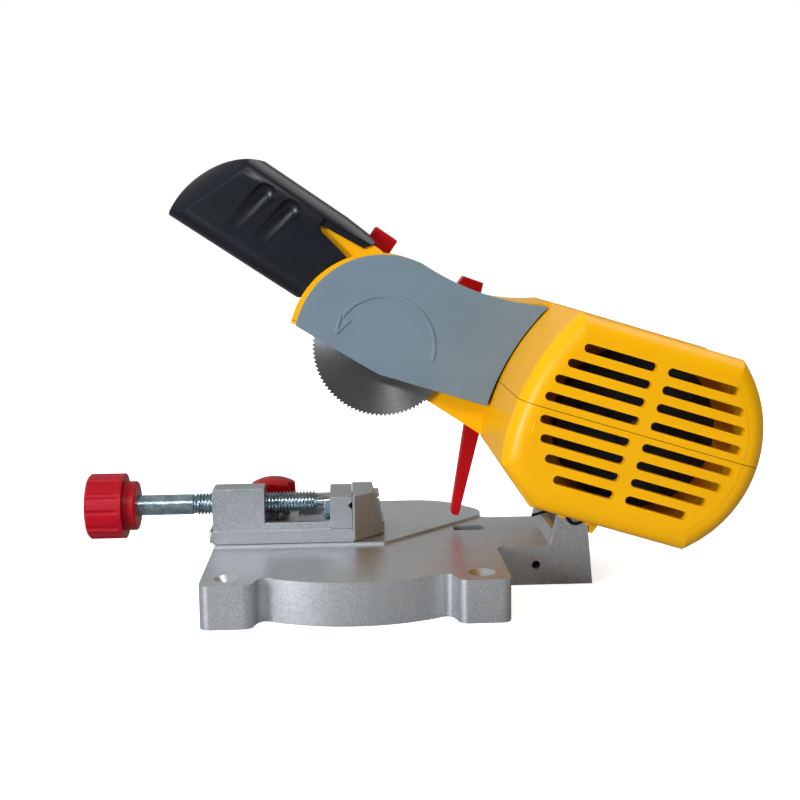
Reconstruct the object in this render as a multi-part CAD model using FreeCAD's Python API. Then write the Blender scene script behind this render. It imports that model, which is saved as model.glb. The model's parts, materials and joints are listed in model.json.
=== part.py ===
import FreeCAD
import Part
import math
import os

os.makedirs("parts", exist_ok=True)
V = FreeCAD.Vector

# World axes: X runs along the saw from the vise knob to the motor, Y from the operator's side
# to the back, Z up from the bench. The origin is the centre of the round table, on the bench.

# Blade and drive
BLADE_R = 25.4
BLADE_T = 0.6
BLADE_Y = -15.5
TEETH = 100
SPINDLE_R = 3.0
MOTOR_PULLEY_R = 3.2
BLADE_PULLEY_R = 4.2
BELT_Y0 = 15.0
BELT_Y1 = 21.0

# Arm pivot, and the lean of the raised arm
PIVOT_X = 80.9
PIVOT_Z = 26.2
ARM_TILT = 17.1
SHAFT_R = 2.25
SPRING_Y0 = -3.0

# Places in the arm's own frame, measured from the pivot with the arm levelled
SPLIT_Z = 39.6
BLADE_AX = -85.0
MOTOR_AX = 1.5
MOTOR_R = 26.5
HEAD_FRONT = -72.5
ARM_FRONT = -13.0
ARM_BACK = 30.5
WALL = 2.4
HEAD_TOP = 71.6
HEAD_BOTTOM = 6.8
NECK_Y0 = -5.2
NECK_Y1 = 22.2
NOSE_SAG = 10.2

# Round table
TABLE_H = 15.0
TABLE_R = 60.5
PLATFORM_H = 16.0
EAR_X = 52.0
TONGUE_Y0 = -18.3
TONGUE_Y1 = 27.5
TONGUE_X = 72.0
HOLE_X = 42.8
HOLE_Y = -51.45
HOLE_R = 2.3

# Vise
VISE_X = -4.8
VISE_FRONT = -12.0
VISE_BED_Z = 22.3
RAIL_TOP = 23.9
JAW_TOP = 33.4
SCREW_Z = 29.2
SCREW_R = 4.0
PITCH = 1.25
SHANK_R = 3.8
LOCK_X = -31.0
LOCK_Y = 14.0
LOCK_R = 8.6
FLANGE_X = -53.5
JAW_X0 = -8.9
JAW_X1 = -0.65
KNOB_X = -98.9
KNOB_R = 12.2


# ---------------------------------------------------------------- helpers
def box(x0, x1, y0, y1, z0, z1):
    return Part.makeBox(x1 - x0, y1 - y0, z1 - z0, V(x0, y0, z0))


def rod_x(y, z, r, x0, x1):
    return Part.makeCylinder(r, x1 - x0, V(x0, y, z), V(1, 0, 0))


def rod_y(x, z, r, y0, y1):
    return Part.makeCylinder(r, y1 - y0, V(x, y0, z), V(0, 1, 0))


def rod_z(x, y, r, z0, z1):
    return Part.makeCylinder(r, z1 - z0, V(x, y, z0), V(0, 0, 1))


def cone_z(x, y, r0, r1, z0, z1):
    return Part.makeCone(r0, r1, z1 - z0, V(x, y, z0), V(0, 0, 1))


def ring_y(x, z, r_out, r_in, y0, y1):
    return rod_y(x, z, r_out, y0, y1).cut(rod_y(x, z, r_in, y0 - 1, y1 + 1))


def ring_z(x, y, r_out, r_in, z0, z1):
    return rod_z(x, y, r_out, z0, z1).cut(rod_z(x, y, r_in, z0 - 1, z1 + 1))


def wire_of(steps, place):
    """A closed wire. A step is a corner (a, b), or an arc (mid a, mid b, end a, end b)."""
    edges = []
    last = place(*steps[0][-2:])
    for step in steps[1:] + steps[:1]:
        end = place(*step[-2:])
        if len(step) == 4:
            edges.append(Part.Arc(last, place(*step[:2]), end).toShape())
        elif (end - last).Length > 1e-6:
            edges.append(Part.makeLine(last, end))
        last = end
    return Part.Wire(edges)


def face_xz(steps, y):
    return Part.Face(wire_of(steps, lambda a, b: V(a, y, b)))


def slab_y(steps, y0, y1, inset=0.0):
    """Outline in X and Z, drawn through from y0 to y1."""
    face = face_xz(steps, y0)
    if inset:
        face = face.makeOffset2D(-inset)
    return face.extrude(V(0, y1 - y0, 0))


def slab_z(steps, z0, z1):
    """Outline in X and Y, raised from z0 to z1."""
    return Part.Face(wire_of(steps, lambda a, b: V(a, b, z0))).extrude(V(0, 0, z1 - z0))


def slab_x(steps, x0, x1):
    """Outline in Y and Z, drawn through from x0 to x1."""
    return Part.Face(wire_of(steps, lambda a, b: V(x0, a, b))).extrude(V(x1 - x0, 0, 0))


def hexagon_z(x, y, flats, z0, z1):
    r = flats / 2 / math.cos(math.pi / 6)
    pts = [(x + r * math.cos(k * math.pi / 3), y + r * math.sin(k * math.pi / 3)) for k in range(6)]
    return slab_z(pts, z0, z1)


def join(shapes):
    whole = shapes[0].fuse(shapes[1:]) if len(shapes) > 1 else shapes[0]
    return whole.removeSplitter()


def soften(shape, radius, keep):
    """Round the edges that keep(edge) picks; leave the shape as it is if none can be rounded."""
    edges = [e for e in shape.Edges if keep(e)]
    try:
        made = shape.makeFillet(radius, edges)
    except Exception:
        return shape
    return made if made.isValid() and made.Volume > 0 else shape


def upright(e, tol=0.01):
    a = e.Vertexes[0].Point
    b = e.Vertexes[-1].Point
    return abs(a.x - b.x) < tol and abs(a.y - b.y) < tol and abs(a.z - b.z) > tol


def at_y(y):
    return lambda e: abs(e.BoundBox.YMin - y) < 0.01 and abs(e.BoundBox.YMax - y) < 0.01


def tilt(shape):
    """From the arm's own levelled frame to the raised arm in the world."""
    out = shape.copy()
    out.rotate(V(0, 0, 0), V(0, 1, 0), ARM_TILT)
    out.translate(V(PIVOT_X, 0, PIVOT_Z))
    return out


def save(name, shape):
    shape.exportStep(os.path.join("parts", name + ".step"))


def group(shapes):
    return Part.makeCompound(shapes)


# ---------------------------------------------------------------- base
def table_outline():
    ear = [(-EAR_X, -57.0), (-50.97, -59.47, -48.5, -60.5), (-37.5, -60.5), (-35.0, -59.5, -34.0, -57.0)]
    left = [(-33.2, -54.6), (-31.9, -52.9, -29.6, -52.75)]
    front = [(0.0, -TABLE_R, 29.6, -52.75), (31.9, -52.9, 33.2, -54.6), (34.0, -57.0)]
    ear_r = [(35.0, -59.5, 37.5, -60.5), (48.5, -60.5), (50.97, -59.47, EAR_X, -57.0)]
    tongue = [(EAR_X, TONGUE_Y0 - 3.5), (53.0, TONGUE_Y0 - 1.0, 55.5, TONGUE_Y0)]
    tongue += [(TONGUE_X, TONGUE_Y0), (TONGUE_X, TONGUE_Y1), (55.0, TONGUE_Y1)]
    back = [(51.7, 29.0, 50.0, 33.5), (42.9, 54.6, 24.5, 62.0), (-26.0, 62.0), (-44.4, 54.4, -EAR_X, 36.0)]
    return ear + left + front + ear_r + tongue + back


def platform():
    steps = [(-51.6, VISE_FRONT - 0.2), (10.9, VISE_FRONT - 0.2), (47.4, 24.3), (46.5, 44.0, 33.0, 44.5)]
    steps += [(-51.6, 44.5)]
    return slab_z(steps, TABLE_H - 0.5, PLATFORM_H)


def lug(y0, y1):
    steps = [(TONGUE_X - 2.0, 0.0), (87.7, 0.0), (86.0, 19.4), (85.7, 26.2), (84.3, 29.8, 80.7, 31.3)]
    steps += [(76.6, 29.6, 75.25, 26.5), (72.1, TABLE_H), (TONGUE_X - 2.0, TABLE_H)]
    plate = slab_y(steps, y0, y1)
    return plate.cut(rod_y(PIVOT_X, PIVOT_Z, SHAFT_R + 0.02, y0 - 1, y1 + 1))


def arc_slot(cx, cy, radius, half, start, stop, z0, z1):
    """Curved slot about (cx, cy), between two angles in degrees."""
    def at(r, a):
        t = math.radians(a)
        return (cx + r * math.cos(t), cy + r * math.sin(t))

    mid = (start + stop) / 2
    edge = math.degrees(half / radius)
    steps = [at(radius - half, start), at(radius, start - edge) + at(radius + half, start)]
    steps.append(at(radius + half, mid) + at(radius + half, stop))
    steps.append(at(radius, stop + edge) + at(radius - half, stop))
    steps += [at(radius - half, mid) + at(radius - half, start)]
    return slab_z(steps, z0, z1)


def base_casting():
    wall = 2.8
    skin = 3.0
    body = slab_z(table_outline(), 0.0, TABLE_H)
    hollow = Part.Face(wire_of(table_outline(), lambda a, b: V(a, b, -1.0))).makeOffset2D(-wall)
    hollow = hollow.extrude(V(0, 0, TABLE_H - skin + 1.0))
    posts = [rod_z(s * HOLE_X, HOLE_Y, 7.2, 0, TABLE_H - 1) for s in (-1, 1)]
    boss = rod_z(VISE_X, 0, 8.0, 0, TABLE_H - 1)
    top = TABLE_H - 1
    ribs = [box(-50.5, 36.0, -1.0, 1.0, 2.0, top), box(VISE_X - 1, VISE_X + 1, -59.0, 61.0, 2.0, top)]
    ribs.append(box(34.0, 36.0, -56.0, 50.0, 2.0, top))
    body = body.cut(hollow).fuse(posts + [boss] + ribs)
    step = [(71.0, 9.0), (74.0, 9.0), (75.7, 19.6), (73.4, 19.6), (72.0, TABLE_H)]
    cross = slab_y(step, TONGUE_Y0 + 1.0, TONGUE_Y1 - 1.0)
    body = body.fuse([platform(), cross, lug(TONGUE_Y0, -13.6), lug(23.0, TONGUE_Y1)])
    body = body.removeSplitter()
    cuts = []
    for s in (-1, 1):
        cuts.append(rod_z(s * HOLE_X, HOLE_Y, HOLE_R, -1, TABLE_H + 1))
        cuts.append(cone_z(s * HOLE_X, HOLE_Y, HOLE_R, 4.7, TABLE_H - 2.4, TABLE_H + 0.01))
    cuts.append(box(38.7, 50.9, 6.9, 14.1, TABLE_H - 4.0, TABLE_H + 3.0))
    cuts.append(rod_z(VISE_X, 0, 4.05, 7.0, 20.0))
    cuts.append(rod_z(VISE_X, 0, 2.5, 3.0, 8.0))
    reach = math.hypot(LOCK_X - VISE_X, LOCK_Y)
    first = math.degrees(math.atan2(LOCK_Y, LOCK_X - VISE_X))
    cuts.append(arc_slot(VISE_X, 0, reach, 2.7, first - 46.0, first + 1.0, TABLE_H - 4.0, PLATFORM_H + 1.0))
    cuts.append(rod_y(66.7, 7.6, 1.55, TONGUE_Y0 - 1, -13.0))
    cuts.append(rod_y(74.8, 4.1, 0.4, TONGUE_Y0 - 1, TONGUE_Y0 + 0.5))
    return body.cut(cuts).removeSplitter()


def pivot_shaft():
    body = rod_y(PIVOT_X, PIVOT_Z, SHAFT_R, -21.0, 30.2)
    grooves = [ring_y(PIVOT_X, PIVOT_Z, 4.0, 1.85, y, y + 1.1) for y in (-20.1, 28.2)]
    body = body.cut(grooves)
    return soften(body, 0.3, lambda e: at_y(-21.0)(e) or at_y(30.2)(e))


def retaining_rings():
    rings = []
    for y0 in (-20.1, 28.2):
        rings.append(ring_y(PIVOT_X, PIVOT_Z, 3.6, 1.88, y0 + 0.02, y0 + 1.08))
    return group(rings)


def torsion_spring():
    """Coil about the pivot; one leg lies on the cross wall, the other stands up into the arm."""
    radius = 3.75
    wire_r = 0.57
    pitch = 1.5
    slope = 15.2
    height = pitch * (9 + (90 - slope) / 360)
    path = Part.makeHelix(pitch, height, radius)
    start = Part.Wire(Part.makeCircle(wire_r, V(radius, 0, 0), V(0, 1, 0)))
    coil = Part.Wire(path.Edges).makePipeShell([start], True, True)
    coil.rotate(V(0, 0, 0), V(1, 0, 0), -90)
    coil.translate(V(PIVOT_X, SPRING_Y0, PIVOT_Z))
    t = math.radians(slope)
    foot = V(PIVOT_X + radius * math.sin(t), SPRING_Y0 + height, PIVOT_Z - radius * math.cos(t))
    top = V(PIVOT_X + radius, SPRING_Y0, PIVOT_Z)
    legs = [Part.makeCylinder(wire_r, 12.6, foot, V(-math.cos(t), 0, -math.sin(t)))]
    lean = math.radians(ARM_TILT)
    legs.append(Part.makeCylinder(wire_r, 8.0, top, V(math.sin(lean), 0, math.cos(lean))))
    balls = [Part.makeSphere(wire_r, foot), Part.makeSphere(wire_r, top)]
    return coil.fuse(legs + balls)


# ---------------------------------------------------------------- vise
def chamfer_right(x_top, x_low, y1, z0, z1):
    """Fixed jaw seen from above: straight front, then a 45 degree face; its right side leans."""
    front = VISE_FRONT

    def level(x, z):
        pts = [(-0.5, front), (0.3, front), (x, front + x - 0.3), (x, y1), (-0.5, y1)]
        return Part.Wire([Part.makeLine(V(*pts[k], z), V(*pts[(k + 1) % 5], z)) for k in range(5)])

    return Part.makeLoft([level(x_low, z0), level(x_top, z1)], True, True)


def vise_body():
    plan = [(FLANGE_X, VISE_FRONT), (0.3, VISE_FRONT), (11.5, -0.8), (11.5, 14.5), (FLANGE_X, 14.5)]
    low = slab_z(plan, 17.0, 21.2)
    low = soften(low, 0.8, lambda e: upright(e) and abs(e.BoundBox.XMin - FLANGE_X) < 0.01)
    foot = Part.Face(wire_of(plan, lambda a, b: V(a, b, PLATFORM_H + 0.05))).makeOffset2D(-1.1)
    foot = foot.extrude(V(0, 0, 1.2))
    bed = box(-52.2, -0.5, VISE_FRONT + 1.2, 14.5, 20.0, VISE_BED_Z)
    front_rail = box(-34.0, -0.5, VISE_FRONT + 1.2, VISE_FRONT + 3.8, VISE_BED_Z - 1, RAIL_TOP)
    rear_rail = box(-21.5, -0.5, 11.9, 14.5, VISE_BED_Z - 1, 29.6)
    arch = [(VISE_FRONT + 1.2, 21.0), (VISE_FRONT + 1.2, 36.8), (-0.6, 36.8)]
    arch += [(2.6, 36.0), (5.0, 32.6), (5.0, 21.0)]
    nut = slab_x(arch, -52.2, -33.0)
    nut = nut.cut(slab_y([(-53, 35.6), (-51.0, 36.9), (-51.0, 38), (-53, 38)], -20, 20))
    jaw = chamfer_right(7.2, 11.4, 14.5, 17.0, JAW_TOP)
    rib = slab_y([(6.0, 20.0), (10.9, 20.0), (9.6, 31.6), (6.0, 31.6)], 2.0, 11.0)
    notch = box(9.0, 12.0, 2.0, 11.0, 27.6, 30.0)
    pad = rod_z(LOCK_X, LOCK_Y, 8.6, 17.0, VISE_BED_Z)
    body = low.fuse([foot, bed, front_rail, rear_rail, nut, jaw, rib.cut(notch), pad]).removeSplitter()
    cuts = [rod_x(0, SCREW_Z, SCREW_R + 0.05, -60, -30), rod_z(LOCK_X, LOCK_Y, 2.6, 10, 40)]
    cuts.append(rod_z(VISE_X, 0, 4.05, 10, VISE_BED_Z + 1))
    cuts.append(rod_z(VISE_X, 0, 5.6, 19.6, VISE_BED_Z + 1))
    cuts.append(rod_z(-28.6, 2.4, 2.7, 10, VISE_BED_Z + 1))
    return body.cut(cuts).removeSplitter()


def moving_jaw():
    block = box(JAW_X0, JAW_X1, VISE_FRONT, 11.6, 21.35, JAW_TOP)
    slot = box(JAW_X0 - 1, JAW_X1 + 1, VISE_FRONT + 1.1, VISE_FRONT + 3.9, 20, RAIL_TOP + 0.15)
    bed = box(JAW_X0 - 1, JAW_X1 + 1, VISE_FRONT + 3.8, 12, 20, VISE_BED_Z + 0.15)
    groove = slab_y([(JAW_X1 + 0.1, 28.4), (JAW_X1 - 1.5, 30.0), (JAW_X1 + 0.1, 31.6)], -20, 20)
    socket = rod_x(0, SCREW_Z, 1.75, JAW_X0 - 1, -4.6)
    head = rod_x(0, SCREW_Z, 2.65, -7.0, -4.9)
    return block.cut([slot, bed, groove, socket, head])


def jaw_retainer():
    plate = box(-11.2, JAW_X0 - 0.05, -4.0, 4.0, VISE_BED_Z + 0.9, 31.6)
    plate = soften(plate, 1.8, lambda e: e.BoundBox.XLength > 1.5 and e.BoundBox.YLength < 0.01)
    return plate.cut(rod_x(0, SCREW_Z, 1.7, -13, -7))


def thread(x0, x1, r_out, r_in, pitch):
    """Thread drawn as rings of the right pitch, so that it reads as a thread and stays light."""
    pts = [(x0, 0.0), (x0, r_in)]
    x = x0
    while x + pitch <= x1 + 1e-6:
        pts += [(x + 0.12 * pitch, r_in), (x + 0.42 * pitch, r_out), (x + 0.58 * pitch, r_out)]
        pts += [(x + 0.88 * pitch, r_in)]
        x += pitch
    pts += [(x1, r_in), (x1, 0.0)]
    edges = []
    for k in range(len(pts)):
        a = V(pts[k][0], 0, pts[k][1])
        b = V(pts[(k + 1) % len(pts)][0], 0, pts[(k + 1) % len(pts)][1])
        if (a - b).Length > 1e-6:
            edges.append(Part.makeLine(a, b))
    return Part.Face(Part.Wire(edges)).revolve(V(0, 0, 0), V(1, 0, 0), 360)


def vise_screw():
    run = thread(-59.8, -13.9, SCREW_R, SCREW_R - 0.65, PITCH)
    shank = rod_x(0, 0, SHANK_R, -95.0, -59.7)
    neck = rod_x(0, 0, 1.6, -14.0, -5.2)
    head = rod_x(0, 0, 2.5, -6.9, -5.1)
    body = join([run, shank, neck, head])
    body.translate(V(0, 0, SCREW_Z))
    return body


def vise_knob():
    """Knob with twelve flutes that run out near its inner end, and a collar on the screw's side."""
    body = rod_x(0, 0, KNOB_R, KNOB_X, -85.5)
    rim = Part.makeCone(KNOB_R - 1.0, KNOB_R + 0.1, 1.1, V(KNOB_X - 0.1, 0, 0), V(1, 0, 0))
    body = body.cut(rod_x(0, 0, 20, KNOB_X - 0.1, KNOB_X + 1.0).cut(rim))
    grips = []
    for k in range(12):
        a = 2 * math.pi * k / 12
        y = (KNOB_R + 0.8) * math.cos(a)
        z = (KNOB_R + 0.8) * math.sin(a)
        grips.append(rod_x(y, z, 1.45, KNOB_X - 1, -88.0))
        grips.append(Part.makeSphere(1.45, V(-88.0, y, z)))
    body = body.cut(grips)
    collar = rod_x(0, 0, 9.2, -85.6, -80.9)
    collar = soften(collar, 0.8, lambda e: abs(e.BoundBox.XMin + 80.9) < 0.01 and e.BoundBox.XLength < 0.01)
    body = join([body, collar]).cut(rod_x(0, 0, SHANK_R + 0.02, -95.05, -80))
    body.translate(V(0, 0, SCREW_Z))
    return body


def lock_knob():
    """Star knob that clamps the swivel."""
    hub = cone_z(LOCK_X, LOCK_Y, 5.6, 6.6, 23.3, 30.0)
    head = cone_z(LOCK_X, LOCK_Y, LOCK_R, LOCK_R - 0.4, 29.0, 37.0)
    head = head.common(Part.makeSphere(16.0, V(LOCK_X, LOCK_Y, 20.4)))
    scoops = []
    for k in range(6):
        a = 2 * math.pi * (k + 0.5) / 6
        scoops.append(rod_z(LOCK_X + 10.3 * math.cos(a), LOCK_Y + 10.3 * math.sin(a), 3.1, 20, 40))
    return join([head.cut(scoops), hub]).cut(rod_z(LOCK_X, LOCK_Y, 2.5, 20, 33.0))


def lock_stud():
    """Stud from the star knob down through the vise and the curved slot."""
    return rod_z(LOCK_X, LOCK_Y, 2.45, 6.0, 32.8)


def lock_nut():
    nut = box(LOCK_X - 4.2, LOCK_X + 4.2, LOCK_Y - 4.2, LOCK_Y + 4.2, 7.8, 11.85)
    return nut.cut(rod_z(LOCK_X, LOCK_Y, 2.5, 0, 20))


def lock_washer():
    return ring_z(LOCK_X, LOCK_Y, 6.4, 2.6, VISE_BED_Z + 0.03, 23.27)


def swivel_screw():
    head = rod_z(VISE_X, 0, 5.5, 19.65, 21.9)
    shoulder = rod_z(VISE_X, 0, 4.0, 7.05, 19.7)
    tip = rod_z(VISE_X, 0, 2.45, 3.3, 7.1)
    drive = hexagon_z(VISE_X, 0, 4.0, 20.1, 23.0)
    return join([head, shoulder, tip]).cut(drive)


# ---------------------------------------------------------------- saw head
def motor_outline():
    """Side view of the motor cover, round at the back of the motor."""
    steps = [(24.8, HEAD_TOP), (-30.0, HEAD_TOP), (-32.6, 68.4), (-40.3, 48.0, -42.1, 33.0)]
    steps += [(-42.1, 25.3, -40.8, 17.6), (-27.6, HEAD_BOTTOM), (24.6, HEAD_BOTTOM)]
    steps += [(40.1, 39.3, 24.8, HEAD_TOP)]
    return steps


def arm_outline():
    a = math.radians(77)
    crest = (BLADE_AX + 32.5 * math.cos(a), SPLIT_Z + 32.5 * math.sin(a))
    left = (BLADE_AX - 34 * math.cos(math.radians(2.2)), SPLIT_Z - 34 * math.sin(math.radians(2.2)))
    mid = (BLADE_AX - 34 * math.cos(math.radians(45)), SPLIT_Z + 34 * math.sin(math.radians(45)))
    steps = [(29.5, HEAD_TOP + 0.4), (-30.0, HEAD_TOP + 0.4), (-52.0, 67.4) + crest, mid + left]
    steps += [(-109.5, 38.2), (-36.9, 17.1), (-25.0, HEAD_BOTTOM), (24.4, HEAD_BOTTOM)]
    steps += [(41.2, 39.3, 30.6, 69.2)]
    return steps


def handle_outline():
    """Side view of the grip, its long axis falling towards the blade disc."""
    steps = [(-171.9, 62.9), (-165.3, 80.0, -143.9, 91.2), (-109.9, 80.5), (-99.9, 76.6), (-97.6, 74.4)]
    steps += [(-106.3, 66.5), (-114.2, 57.9, -118.2, 47.7), (-119.8, 47.3)]
    return steps


def neck_outline():
    top = [(-150.0, 84.0), (-110.0, 76.9), (-96.8, 73.2), (-86.0, 68.5)]
    return top + [(-86.0, 50.0), (-116.0, 50.3), (-152.0, 61.4)]


def neck(y0, y1):
    def long_edge(e):
        return e.BoundBox.YLength < 0.01 and e.BoundBox.XMax < -90 and e.BoundBox.XLength > 3

    return soften(slab_y(neck_outline(), y0, y1), 1.6, long_edge)


def head_solid():
    cap = slab_y(motor_outline(), HEAD_FRONT, ARM_FRONT + 2)
    cap = soften(cap, 6.5, at_y(HEAD_FRONT))
    panel = slab_y(motor_outline(), HEAD_FRONT - 0.22, HEAD_FRONT + 1.0, 6.9)
    cap = cap.fuse(panel)
    arm = slab_y(arm_outline(), ARM_FRONT, ARM_BACK)
    arm = soften(arm, 3.0, at_y(ARM_BACK))
    return cap, arm


def vents():
    """Two columns of eight round-ended slots through the front of the motor cover."""
    rows = [61.4, 55.5, 49.6, 43.5, 36.1, 30.2, 24.4, 18.5]
    left = [-25.9, -29.5, -31.9, -33.2, -32.6, -30.7, -27.4, -22.8]
    right = [23.2, 26.9, 29.1, 29.9, 29.5, 27.5, 24.3, 19.4]
    r = 1.42
    cuts = []
    for k in range(8):
        mid = (-4.45, 2.0) if k < 4 else (-5.25, 1.5)
        for x0, x1 in ((left[k], mid[0]), (mid[1], right[k])):
            z = rows[k]
            steps = [(x0, z - r), (x1, z - r), (x1 + r, z, x1, z + r), (x0, z + r), (x0 - r, z, x0, z - r)]
            cuts.append(slab_y(steps, HEAD_FRONT - 1, HEAD_FRONT + 6))
    return cuts


def bearing_block(y0, y1, r_out):
    return rod_y(BLADE_AX, SPLIT_Z, r_out, y0, y1)


def screw_posts():
    """Posts for the cover screws, which go up from below: x, y, radius and seat height of each."""
    motor = [(-29.0, -38.0, 3.0, 14.6), (-29.0, 25.0, 2.7, 14.6)]
    motor += [(30.8, -38.0, 2.6, 17.4), (30.8, 25.0, 2.6, 17.4)]
    return motor + [(-62.0, 25.2, 2.6, 27.6), (-100.5, -6.5, 3.0, 37.0)]


def shell_blank():
    cap, arm = head_solid()
    whole = cap.fuse(arm)
    cap_in = slab_y(motor_outline(), HEAD_FRONT + 2.6, 27.9, WALL)
    arm_in = slab_y(arm_outline(), ARM_FRONT + WALL, 27.9, WALL)
    whole = whole.cut([cap_in, arm_in])
    inside = cap_in.fuse(arm_in)
    ribs = [bearing_block(-11.0, -5.6, 9.5), bearing_block(6.8, 12.4, 9.5)]
    ribs.append(box(-98, -72, 8.4, 10.8, 20, 70))
    for y0 in (-44.0, -12.0):
        ribs.append(box(-45, 45, y0, y0 + 2.4, 5, 72))
    ribs += [box(-45, 45, 1.0, 3.4, 5, 72)]
    for x, y, r, seat in screw_posts():
        ribs.append(rod_z(x, y, r, 0, 72))
    ribs.append(box(-66.0, -54.5, -12.0, 9.8, 52.6, 56.0))
    ribs = [r.common(inside) for r in ribs]
    whole = whole.fuse(ribs)
    bores = [rod_y(BLADE_AX, SPLIT_Z, 6.52, -10.9, -5.0), rod_y(BLADE_AX, SPLIT_Z, 6.52, 7.0, 13.0)]
    bores.append(rod_y(BLADE_AX, SPLIT_Z, 4.4, -20, 13.0))
    bores.append(rod_y(MOTOR_AX, SPLIT_Z, MOTOR_R + 0.05, -60.0, 0.95))
    bores.append(rod_z(-60.0, 5.5, 1.7, 50.0, 60.0))
    bores.append(rod_y(MOTOR_AX, SPLIT_Z, 8.0, 0, 8.0))
    return whole.cut(bores + vents())


def half(shape, upper):
    gap = 0.11
    if upper:
        return shape.common(box(-200, 60, -90, 60, SPLIT_Z + gap, 120))
    return shape.common(box(-200, 60, -90, 60, -20, SPLIT_Z - gap))


def pivot_bosses():
    """Two bosses under the arm that turn on the pivot shaft, between the table's lugs."""
    out = []
    for y0, y1 in ((-13.2, -4.4), (14.2, 22.6)):
        steps = [(-5.4, 0), (0, -5.4, 5.4, 0), (5.4, HEAD_BOTTOM + 1), (-5.4, HEAD_BOTTOM + 1)]
        out.append(slab_y(steps, y0, y1))
    return out


def front_tab():
    """Lip under the motor cover that hides the shaft end, and the block that stops the arm."""
    tab = slab_y([(-6.0, -1.9), (5.4, -1.9), (5.4, 8.0), (-6.0, 8.0)], -21.5, -18.6)
    stop = slab_y([(7.1, -5.0), (8.4, -5.0), (9.7, -1.5), (9.9, 8.0), (6.2, 8.0), (6.2, -1.6)], -18.1, -14.2)
    return [tab, stop]


def head_lower():
    body = half(shell_blank(), False).fuse(pivot_bosses() + front_tab())
    cuts = [box(2.75, 4.75, -4.2, -1.8, 5, 12), rod_y(0, 0, SHAFT_R + 0.05, -30, 40)]
    cuts += [rod_y(0, 0, 4.1, -25, -18.5), rod_y(0, 0, 4.8, -4.4, 14.2)]
    for x, y, r, seat in screw_posts():
        cuts.append(rod_z(x, y, 1.35, seat - 1, SPLIT_Z + 1))
        cuts.append(rod_z(x, y, 2.2, seat - 12, seat))
    cuts.append(slab_y(leg_outline(0.15), 8.2, 12.8))
    cuts.append(rod_y(36.5, 24.0, 3.6, 20, 40))
    return tilt(body.cut(cuts).removeSplitter())


def head_upper():
    body = half(shell_blank(), True)
    stem = neck(NECK_Y0, NECK_Y1)
    stem = stem.cut(slab_y(arm_outline(), ARM_FRONT + WALL, 27.9, WALL))
    body = body.fuse(stem)
    cuts = [switch_pocket(), switch_window(), lock_window()]
    for x, y, r, seat in screw_posts():
        cuts.append(rod_z(x, y, 1.12, SPLIT_Z - 1, SPLIT_Z + 10))
    cuts.append(slab_y(handle_gap(), 0, 17))
    return tilt(body.cut(cuts).removeSplitter())


def handle_gap():
    """Wire way from the disc into the grip."""
    return [(-148.0, 74.0), (-118.0, 66.0), (-84.0, 56.0), (-84.0, 52.0), (-118.0, 59.5), (-148.0, 68.0)]


def switch_pocket():
    """Room for the switch below its button."""
    return slab_y(grip_block(-9.4, 4.4, -13.9, -6.0), 2.7, 14.3)


def grip_block(left, right, low, high):
    """Block set square to the grip; its sides are measured from the foot of the switch button."""
    a = math.radians(-17.6)
    c, s = math.cos(a), math.sin(a)
    out = []
    for u, w in ((left, low), (right, low), (right, high), (left, high)):
        out.append((-96.0 + u * c - w * s, 73.4 + u * s + w * c))
    return out


def switch_window():
    return slab_y(grip_block(-5.2, 5.2, -9.0, 20.0), 3.2, 13.8)


def lock_window():
    return slab_y([(-64.3, 60.0), (-53.9, 60.0), (-53.9, 80.0), (-64.3, 80.0)], 1.2, 9.8)


def leg_outline(grow=0.0):
    """The red stop leg: a long taper with a rounded foot."""
    steps = [(-45.7 - grow, 23.1), (-40.2 - grow, -15.8), (-39.6, -17.2, -38.4, -17.5)]
    steps += [(-37.0, -17.2, -36.8 + grow, -15.8), (-38.3 + grow, 15.0), (-38.3 + grow, 23.1)]
    return steps


def stop_leg():
    leg = slab_y(leg_outline(), 8.35, 12.65)
    foot = box(-48.0, -34.8, 6.5, 14.5, 23.05, 25.2)
    return tilt(join([leg, foot]))


def blade_guard():
    a = math.radians(81)
    crest = (BLADE_AX + 32.8 * math.cos(a), SPLIT_Z + 32.8 * math.sin(a))
    left = (-116.9, 38.5)
    mid = (BLADE_AX - 32.6 * math.cos(math.radians(45)), SPLIT_Z + 32.6 * math.sin(math.radians(45)))
    steps = [(-32.4, 70.0), (-55.0, 67.9) + crest, mid + left, (-90.0, 31.5), (-83.7, 30.0)]
    steps += [(-43.3, 29.8), (-40.4, 50.0, -32.4, 70.0)]
    body = slab_y(steps, -21.2, ARM_FRONT - 0.03)
    body = soften(body, 0.7, at_y(-21.2))
    inner = [(-46.5, 66.2), (-57.0, 66.3, -79.8, 70.3), (-107.0, 61.6, -115.3, 36.0)]
    inner += [(-115.3, 20.0), (-45.0, 20.0)]
    body = body.cut(slab_y(inner, -19.4, -12.0))
    arrow = ring_y(BLADE_AX, 40.0, 18.7, 17.5, -21.65, -20.8)
    keep = [(BLADE_AX, 40.0), (-60.0, 40.0), (-60.0, 70.0), (-110.0, 70.0), (-110.0, 49.1)]
    arrow = arrow.common(slab_y(keep, -22, -20))
    tips = [bar((-102.5, 39.9), (-102.6, 46.9)), bar((-102.5, 39.9), (-98.9, 45.9))]
    return tilt(join([body, arrow] + tips))


def bar(a, b):
    """Thin raised bar on the guard's face."""
    w = 0.5
    dx = b[0] - a[0]
    dz = b[1] - a[1]
    n = math.hypot(dx, dz)
    ox = -dz / n * w
    oz = dx / n * w
    steps = [(a[0] + ox, a[1] + oz), (b[0] + ox, b[1] + oz), (b[0] - ox, b[1] - oz), (a[0] - ox, a[1] - oz)]
    return slab_y(steps, -21.65, -20.8)


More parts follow.
